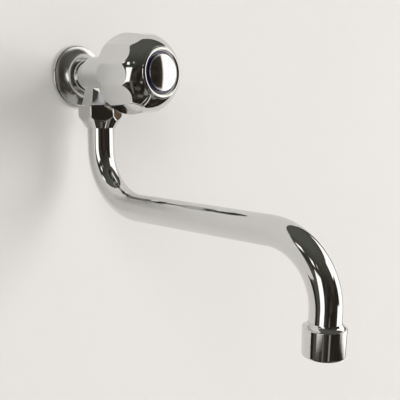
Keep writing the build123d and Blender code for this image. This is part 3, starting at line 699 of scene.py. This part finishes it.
# Union nut
NUT_SIDES = 6
NUT_FLATS = 26.0
NUT_HEX_HEIGHT = 7.1
NUT_END_RADIUS = 9.9
NUT_CHAMFER = 0.6
NUT_TURN = radians(5)
NUT_ROUNDING = 1.2
NUT_EDGE = 0.45
NUT_THREAD_RADIUS = 10.53
NUT_THREAD_END = 30.4
NUT_HOLE_RADIUS = 9.3
NUT_SHOULDER_ROUNDING = 0.3
NUT_MOUTH_ROUNDING = 0.2
NUT_HOLE_ROUNDING = 0.15
NUT_BORE_ROUNDING = 0.1
NUT_WALL_LEAST = 1.0  # what lies farther than this past the thread is the outside
NUT_LIP_LEAST = 0.3  # the same past the hole, below the thread


def polished_nut():
    """A hexagon that runs into a long cone below, with the thread and the hole inside."""
    top, bottom = -NUT_HIGH[2], -NUT_LOW[2]
    corner_radius = NUT_FLATS / 2 / cos(pi / NUT_SIDES)

    def hexagon(radius, along, angles):
        flats = polygon_radius(angles, NUT_FLATS, NUT_SIDES, NUT_TURN, NUT_ROUNDING)
        outside = radius > NUT_THREAD_RADIUS + NUT_WALL_LEAST
        near_end = (radius > NUT_HOLE_RADIUS + NUT_LIP_LEAST) & (along > NUT_THREAD_END)
        return np.where(outside | near_end, smooth_least(radius, flats, NUT_EDGE), radius)

    outline = rounded([
        (corner_radius - NUT_CHAMFER, top, NUT_SHOULDER_ROUNDING),
        (corner_radius, top + NUT_CHAMFER, NUT_SHOULDER_ROUNDING),
        (corner_radius, top + NUT_HEX_HEIGHT, NUT_SHOULDER_ROUNDING),
        (NUT_END_RADIUS, bottom, NUT_MOUTH_ROUNDING),
        (NUT_HOLE_RADIUS, bottom, NUT_HOLE_ROUNDING),
        (NUT_HOLE_RADIUS, NUT_THREAD_END, NUT_BORE_ROUNDING),
        (NUT_THREAD_RADIUS, NUT_THREAD_END, NUT_BORE_ROUNDING),
        (NUT_THREAD_RADIUS, top, NUT_MOUTH_ROUNDING),
    ])
    return turned(
        "polished_nut", outline, swivel_axis, CHROME,
        shape=hexagon, longest=NUT_LONGEST, around=NUT_AROUND,
    )


# Spout pipe
PIPE_RADIUS = 9.0
PIPE_WALL = 1.2
PIPE_BORE = PIPE_RADIUS - PIPE_WALL
BEND_START = 48.7
FIRST_BEND = 38.4
SECOND_BEND = 37.7
ARM_LENGTH = 106.5
FIRST_BEND_ANGLE = radians(89)
SECOND_BEND_ANGLE = radians(91)
OUTLET_DROP = 15.1
PIPE_ROUNDING = 0.3


def spout_route():
    """Rows of length, (out, down) place and heading along the pipe's centre line."""
    stretches = [
        ("line", BEND_START - PIPE_TOP),
        ("bend", FIRST_BEND, FIRST_BEND_ANGLE),
        ("line", ARM_LENGTH),
        ("bend", SECOND_BEND, -SECOND_BEND_ANGLE),
        ("line", OUTLET_DROP),
    ]
    length, place, heading = 0.0, np.array([SWIVEL_OUT, PIPE_TOP]), 0.0
    rows = [(length, place, heading)]
    for kind, size, *bend in stretches:
        if kind == "line":
            place = place + size * np.array([sin(heading), cos(heading)])
            length += size
            rows.append((length, place, heading))
            continue
        turn = bend[0]
        side = 1 if turn > 0 else -1
        centre = place + side * size * np.array([cos(heading), -sin(heading)])
        start, first_heading, steps = length, heading, int(abs(turn) / DOME_STEP)
        for step in range(1, steps + 1):
            heading = first_heading + turn * step / steps
            place = centre - side * size * np.array([cos(heading), -sin(heading)])
            length = start + size * abs(turn) * step / steps
            rows.append((length, place, heading))
    return rows


def polished_pipe():
    """The pipe, open at both ends, along its route."""
    rows = [(length, *place, heading) for length, place, heading in spout_route()]
    lengths, outs, downs, headings = np.array(rows).T

    def route(along):
        heading = np.interp(along, lengths, headings)
        out = np.interp(along, lengths, outs)
        down = np.interp(along, lengths, downs)
        zero = 0 * along
        centre = np.stack([zero, -out, -down], -1)
        ahead = np.stack([zero, -np.sin(heading), -np.cos(heading)], -1)
        side = np.stack([zero + 1, zero, zero], -1)
        return centre, side, np.cross(ahead, side), ahead

    outline = rounded([
        (PIPE_RADIUS, 0.0, PIPE_ROUNDING),
        (PIPE_RADIUS, lengths[-1], PIPE_ROUNDING),
        (PIPE_BORE, lengths[-1], PIPE_ROUNDING),
        (PIPE_BORE, 0.0, PIPE_ROUNDING),
    ])
    return turned(
        "polished_pipe", outline, route, CHROME, longest=PIPE_LONGEST, around=PIPE_AROUND
    )


# Outlet ring and aerator housing, by distances past the pipe's end
OUTLET_RING_RADIUS = 10.9
OUTLET_RING_START = -7.1
OUTLET_RING_END = 1.5
OUTLET_FLARE = 2.4
FLARE_HOLLOW = 0.35
FLARE_LIP = 0.2
AERATOR_RADIUS = 12.0
AERATOR_START = -6.9
AERATOR_LENGTH = 16.0
AERATOR_TOP_ROUNDING = 0.4
AERATOR_FOOT_RADIUS = 11.7
AERATOR_FOOT_ROUNDING = 1.2
AERATOR_THREAD_RADIUS = 10.95
AERATOR_MOUTH_ROUNDING = 0.2
AERATOR_LIP_RADIUS = 9.6
AERATOR_LIP_ROUNDING = 0.4
AERATOR_LIP = 4.1


def outlet_axis(along):
    """The axis of the pipe's outlet, which leans back towards the wall."""
    _, (out, down), heading = spout_route()[-1]
    ahead = np.array([0.0, -sin(heading), -cos(heading)])
    centre = np.array([0.0, -out, -down]) + along[:, None] * ahead
    return straight_axis(centre, np.cross(ahead, [1.0, 0.0, 0.0]), ahead)


def polished_flare():
    """The ring on the pipe's end, which flares out from the pipe above the aerator."""
    lip = (PIPE_RADIUS + FLARE_LIP, OUTLET_RING_START - OUTLET_FLARE)
    crest = (OUTLET_RING_RADIUS, OUTLET_RING_START)
    below = [
        (OUTLET_RING_RADIUS, OUTLET_RING_END),
        (PIPE_BORE, OUTLET_RING_END),
        (PIPE_BORE, 0.0),
        (PIPE_RADIUS, 0.0),
        (PIPE_RADIUS, lip[1]),
    ]
    outline = Outline()
    outline.bow(lip, crest, -FLARE_HOLLOW)
    outline.corners(crest, below, lip, FINE_EDGE)
    return turned("polished_flare", outline, outlet_axis, CHROME)


def polished_aerator():
    """The aerator's housing, with its thread above and the lip that holds the insert."""
    end = AERATOR_START + AERATOR_LENGTH
    ledge = end - AERATOR_LIP
    corners = [
        (AERATOR_RADIUS, AERATOR_START, AERATOR_TOP_ROUNDING),
        (AERATOR_FOOT_RADIUS, end, AERATOR_FOOT_ROUNDING),
        (AERATOR_LIP_RADIUS, end, AERATOR_LIP_ROUNDING),
        (AERATOR_LIP_RADIUS, ledge, FINE_EDGE),
        (AERATOR_THREAD_RADIUS, ledge, FINE_EDGE),
        (AERATOR_THREAD_RADIUS, AERATOR_START, AERATOR_MOUTH_ROUNDING),
    ]
    return turned("polished_aerator", rounded(corners), outlet_axis, CHROME)


def stands_for(piece, node, body):
    """Puts a piece in the place of a CAD node."""
    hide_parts(node)
    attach(piece, body)


def pieces():
    """Makes the polished pieces and says what each stands for and rides on."""
    stands_for(polished_rosette(), "wall_rosette", "body")
    bar, boss = polished_body(), polished_boss()
    stands_for(bar, "tap_body", "body")
    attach(boss, "body")
    stands_for(polished_nut(), "union_nut", "body")
    stands_for(polished_knob(), "knob_shell", "knob")
    stands_for(polished_cap(), "knob_cap", "knob")
    stands_for(cold_ring(), "index_ring", "knob")
    stands_for(polished_pipe(), "spout_pipe", "spout")
    stands_for(polished_flare(), "outlet_ring", "spout")
    stands_for(polished_aerator(), "aerator_housing", "spout")


# Stage: the wall and a floor
WALL_COLOUR = (0.79, 0.78, 0.765)
WALL_SHADE = 0.965  # the darker patches' share of the wall's colour
WALL_PATCH_SCALE = 5
WALL_ROUGHNESS = 0.85
WALL_GLOSS = 0.2
WALL_GRAIN_SCALE = 60
WALL_GRAIN_HEIGHT = 6e-4
WALL_GRAIN_STRENGTH = 0.5
WALL_BACK = 0.0003
WALL_SIZE = 4.0
FLOOR_COLOUR = (0.74, 0.73, 0.71)
FLOOR_SHADE = (0.71, 0.70, 0.68)
FLOOR_PATCH_SCALE = 3
FLOOR_ROUGHNESS = 0.7
FLOOR_HEIGHT = -0.62

# The metal mirrors the wall only between these edges. Farther to the left, to the right
# and above, and low on the left, it mirrors the room screen instead.
MIRRORED_WALL_LOW_END = -0.25
MIRRORED_WALL_HIGH_END = -1.2
MIRRORED_WALL_STEP = -0.20
MIRRORED_WALL_TOP = 1.25
MIRRORED_WALL_RIGHT_END = 1.0


def stage_mesh(name, corners, faces, material):
    """A mesh that belongs to the stage, from corners in metres."""
    mesh = bpy.data.meshes.new(name)
    mesh.from_pydata(corners, [], faces)
    mesh.materials.append(material)
    piece = link(name, mesh)
    return piece


def plaster():
    """Pale painted plaster that is seen through from behind."""
    material, tree, shader = new_material("plaster")
    shade = tuple(WALL_SHADE * c for c in WALL_COLOUR)
    patches = noise(tree, WALL_PATCH_SCALE, detail=6.0)
    grain = noise(tree, WALL_GRAIN_SCALE, detail=8.0)
    feed(tree, shader.inputs["Base Color"], mixed(tree, patches, WALL_COLOUR, shade))
    feed(tree, shader.inputs["Roughness"], WALL_ROUGHNESS)
    feed(tree, shader.inputs["Specular IOR Level"], WALL_GLOSS)
    bump(tree, shader, grain, WALL_GRAIN_HEIGHT, WALL_GRAIN_STRENGTH)
    geometry = tree.nodes.new("ShaderNodeNewGeometry")
    clear = tree.nodes.new("ShaderNodeBsdfTransparent")
    sides = tree.nodes.new("ShaderNodeMixShader")
    tree.links.new(geometry.outputs["Backfacing"], sides.inputs["Fac"])
    tree.links.new(shader.outputs["BSDF"], sides.inputs[1])
    tree.links.new(clear.outputs["BSDF"], sides.inputs[2])
    tree.links.new(sides.outputs["Shader"], tree.nodes["Material Output"].inputs["Surface"])
    return material


def floor_paint():
    """The same kind of paint on the floor, a little darker."""
    material, tree, shader = new_material("floor_paint")
    patches = noise(tree, FLOOR_PATCH_SCALE, detail=4.0)
    feed(tree, shader.inputs["Base Color"], mixed(tree, patches, FLOOR_COLOUR, FLOOR_SHADE))
    feed(tree, shader.inputs["Roughness"], FLOOR_ROUGHNESS)
    return material


def wall_part(name, left, right, bottom, top, material):
    """A rectangle of the wall, between two places along X and two heights."""
    corners = [
        (left, WALL_BACK, bottom),
        (right, WALL_BACK, bottom),
        (right, WALL_BACK, top),
        (left, WALL_BACK, top),
    ]
    return stage_mesh(name, corners, [range(4)], material)


def stage():
    """The wall, in parts that the metal mirrors or not, and the floor."""
    half = WALL_SIZE / 2
    low, step, high = FLOOR_HEIGHT, MIRRORED_WALL_STEP, MIRRORED_WALL_TOP
    near, far, right = MIRRORED_WALL_LOW_END, MIRRORED_WALL_HIGH_END, MIRRORED_WALL_RIGHT_END
    paint = plaster()
    wall_part("wall", near, right, low, high, paint)
    wall_part("wall_left_above", far, near, step, high, paint)
    wall_part("wall_left_below", far, near, low, step, paint).visible_glossy = False
    wall_part("wall_far_left", -half, far, low, high, paint).visible_glossy = False
    wall_part("wall_high", -half, half, high, half, paint).visible_glossy = False
    wall_part("wall_far_right", right, half, low, high, paint).visible_glossy = False
    floor_corners = [
        (-half, -WALL_SIZE, FLOOR_HEIGHT),
        (half, -WALL_SIZE, FLOOR_HEIGHT),
        (half, WALL_SIZE, FLOOR_HEIGHT),
        (-half, WALL_SIZE, FLOOR_HEIGHT),
    ]
    stage_mesh("floor", floor_corners, [range(4)], floor_paint()).visible_glossy = False


# Room screen: a painted reflection of a dark room with glowing windows, which the polished metal
# mirrors instead of a room
SCREEN_RADIUS = 8.0
SCREEN_ROWS = 32
SCREEN_COLUMNS = 64
# Colours of the painted reflection: the dark room, its clutter and a paler ceiling above
ROOM_DARK = (0.022, 0.018, 0.015)
ROOM_CLUTTER = (0.070, 0.060, 0.050)
CLUTTER_SCALE = 0.45
CLUTTER_RANGE = (0.45, 0.75)  # of the noise, from all dark to all clutter
CEILING = (0.105, 0.11, 0.09)
CEILING_RANGE = (5.0, 60.0)  # degrees of elevation, from none to all ceiling


@dataclass
class Panel:
    """A patch of the screen, in degrees of azimuth from +Y towards +X and of elevation."""

    first: float
    last: float
    bottom: float
    top: float
    colour: tuple
    softness: float
    first_lean: float = 0.0  # degrees that the first edge moves with each degree of elevation
    last_lean: float = 0.0


# The glowing white of the windows and small lights: a painted highlight that the metal mirrors
PAINTED_HIGHLIGHT = (1.6, 1.58, 1.52)
WINDOW_FRAME = (0.16, 0.10, 0.06)
PANELS = (
    # The painted reflection of the wide window on the right, in its frame, with a ledge below
    Panel(85, 126, -34, -14, (0.13, 0.115, 0.085), softness=10.0),
    Panel(90, 160, -24, -8, WINDOW_FRAME, softness=6.0),
    Panel(88, 140, -24, 40, WINDOW_FRAME, softness=2.0),
    Panel(90, 160, 14, 40, WINDOW_FRAME, softness=6.0),
    Panel(92, 155, -24, -9, PAINTED_HIGHLIGHT, softness=3.0),
    Panel(91, 138.5, -24, 36, PAINTED_HIGHLIGHT, softness=2.0),
    Panel(92, 155, 15, 36, PAINTED_HIGHLIGHT, softness=3.0),
    # The painted reflection of the narrow window on the left, in a dim wall, with small painted
    # highlights above
    Panel(256, 296, -45, 14, (0.09, 0.09, 0.075), softness=6.0),
    Panel(239, 264, -24, 15, PAINTED_HIGHLIGHT, softness=3.0, first_lean=-0.29, last_lean=-0.586),
    Panel(244.5, 254, 19.5, 28, PAINTED_HIGHLIGHT, softness=2.0),
    Panel(263, 274, 24, 34, PAINTED_HIGHLIGHT, softness=2.0),
    Panel(230, 236, 23, 29, (0.6, 0.6, 0.6), softness=1.5),
    # Paler things low in the room, in the painted reflection
    Panel(132, 200, -60, -34, (0.28, 0.27, 0.25), softness=6.0),
    Panel(237, 247, -57, -19, (0.16, 0.16, 0.15), softness=3.0),
    Panel(205, 215, -28, -20, (0.30, 0.30, 0.28), softness=2.0),
    Panel(211, 233, -48, -35, (0.10, 0.10, 0.07), softness=4.0),
    Panel(195, 227, -69, -57, (0.16, 0.16, 0.15), softness=4.0),
)


def direction(tree):
    """Azimuth and elevation, in degrees, of a place on the screen."""
    place = tree.nodes.new("ShaderNodeTexCoord")
    axes = tree.nodes.new("ShaderNodeSeparateXYZ")
    tree.links.new(place.outputs["Object"], axes.inputs[0])
    turn = calculate(tree, "ARCTAN2", axes.outputs["X"], axes.outputs["Y"])
    azimuth = calculate(tree, "DEGREES", calculate(tree, "FLOORED_MODULO", turn, 2 * pi))
    out_x = calculate(tree, "MULTIPLY", axes.outputs["X"], axes.outputs["X"])
    out = calculate(tree, "MULTIPLY_ADD", axes.outputs["Y"], axes.outputs["Y"], out_x)
    lift = calculate(tree, "ARCTAN2", axes.outputs["Z"], calculate(tree, "SQRT", out))
    return azimuth, calculate(tree, "DEGREES", lift)


def painted_room_reflection():
    """A painted reflection of a dark room with glowing windows, painted by direction from the
    tap.
    """
    material, tree, shader = new_material("painted_room_reflection")
    tree.nodes.remove(shader)
    azimuth, elevation = direction(tree)
    clutter = ramp(tree, noise(tree, CLUTTER_SCALE, detail=3.0), *CLUTTER_RANGE)
    colour = mixed(tree, clutter, ROOM_DARK, ROOM_CLUTTER)
    colour = mixed(tree, ramp(tree, elevation, *CEILING_RANGE), colour, CEILING)
    for panel in PANELS:
        first = calculate(tree, "MULTIPLY_ADD", elevation, panel.first_lean, panel.first)
        last = calculate(tree, "MULTIPLY_ADD", elevation, panel.last_lean, panel.last)
        share, *edges = (
            ramp(tree, calculate(tree, "SUBTRACT", azimuth, first), 0.0, panel.softness),
            ramp(tree, calculate(tree, "SUBTRACT", last, azimuth), 0.0, panel.softness),
            ramp(tree, elevation, panel.bottom, panel.bottom + panel.softness),
            ramp(tree, elevation, panel.top, panel.top - panel.softness),
        )
        for edge in edges:
            share = calculate(tree, "MULTIPLY", share, edge)
        colour = mixed(tree, share, colour, panel.colour)
    emission = tree.nodes.new("ShaderNodeEmission")
    tree.links.new(colour, emission.inputs["Color"])
    tree.links.new(emission.outputs[0], tree.nodes["Material Output"].inputs["Surface"])
    return material


def room_screen():
    """A sphere round the tap that only mirrored rays meet, and that carries the painted
    reflection.
    """
    lifts = np.linspace(-pi / 2, pi / 2, SCREEN_ROWS + 1)
    turns = np.arange(SCREEN_COLUMNS) * 2 * pi / SCREEN_COLUMNS
    lift, turn = (part.ravel() for part in np.meshgrid(lifts, turns, indexing="ij"))
    rays = np.stack([np.cos(lift) * np.cos(turn), np.cos(lift) * np.sin(turn), np.sin(lift)], -1)
    faces = []
    for here in range(0, SCREEN_ROWS * SCREEN_COLUMNS, SCREEN_COLUMNS):
        above = here + SCREEN_COLUMNS
        for column in range(SCREEN_COLUMNS):
            following = (column + 1) % SCREEN_COLUMNS
            faces.append([here + column, above + column, above + following, here + following])
    corners = (SCREEN_RADIUS * rays).tolist()
    screen = stage_mesh("room_screen", corners, faces, painted_room_reflection())
    screen.visible_camera = False
    screen.visible_diffuse = False
    screen.visible_shadow = False
    screen.visible_transmission = False
    screen.visible_volume_scatter = False


# Light
SKY_COLOUR = (1.0, 0.995, 0.985)
SKY_STRENGTH = 0.30
LAMP_COLOUR = (1.0, 0.985, 0.97)
LAMP_PLACE = (4.9, -3.4, 1.5)
LAMP_SIZE = (4.4, 4.4)
LAMP_POWER = 325.0
FILL_PLACE = (-3.4, -2.4, 1.6)
FILL_SIZE = (3.0, 3.0)
FILL_POWER = 82.0


def lamp(name, place, size, power):
    """A soft rectangle of light that faces the tap."""
    area = bpy.data.lights.new(name, "AREA")
    area.shape = "RECTANGLE"
    area.size, area.size_y = size
    area.energy = power
    area.color = LAMP_COLOUR
    source = link(name, area)
    source.location = place
    source.rotation_euler = (-source.location).to_track_quat("-Z", "Y").to_euler()
    source.visible_glossy = False


def lights():
    """An even sky, a large lamp on the right and a weaker one on the left."""
    world = bpy.data.worlds.new("soft_sky")
    bpy.context.scene.world = world
    world.use_nodes = True
    background = world.node_tree.nodes["Background"]
    background.inputs["Color"].default_value = (*SKY_COLOUR, 1)
    background.inputs["Strength"].default_value = SKY_STRENGTH
    lamp("window_light", LAMP_PLACE, LAMP_SIZE, LAMP_POWER)
    lamp("fill_light", FILL_PLACE, FILL_SIZE, FILL_POWER)


def camera():
    """The camera, as it stood for the photograph."""
    data = bpy.data.cameras.new("camera")
    data.sensor_width = SENSOR_WIDTH
    data.lens = FOCAL_PIXELS / IMAGE_PIXELS * SENSOR_WIDTH
    view = link("camera", data)
    view.location = CAMERA_PLACE
    view.rotation_euler = (radians(90 - CAMERA_FALL), 0, radians(-CAMERA_HEADING))
    bpy.context.scene.camera = view


dress_frame()
pieces()
stage()
room_screen()
lights()
camera()
bpy.context.scene.view_settings.view_transform = "Standard"
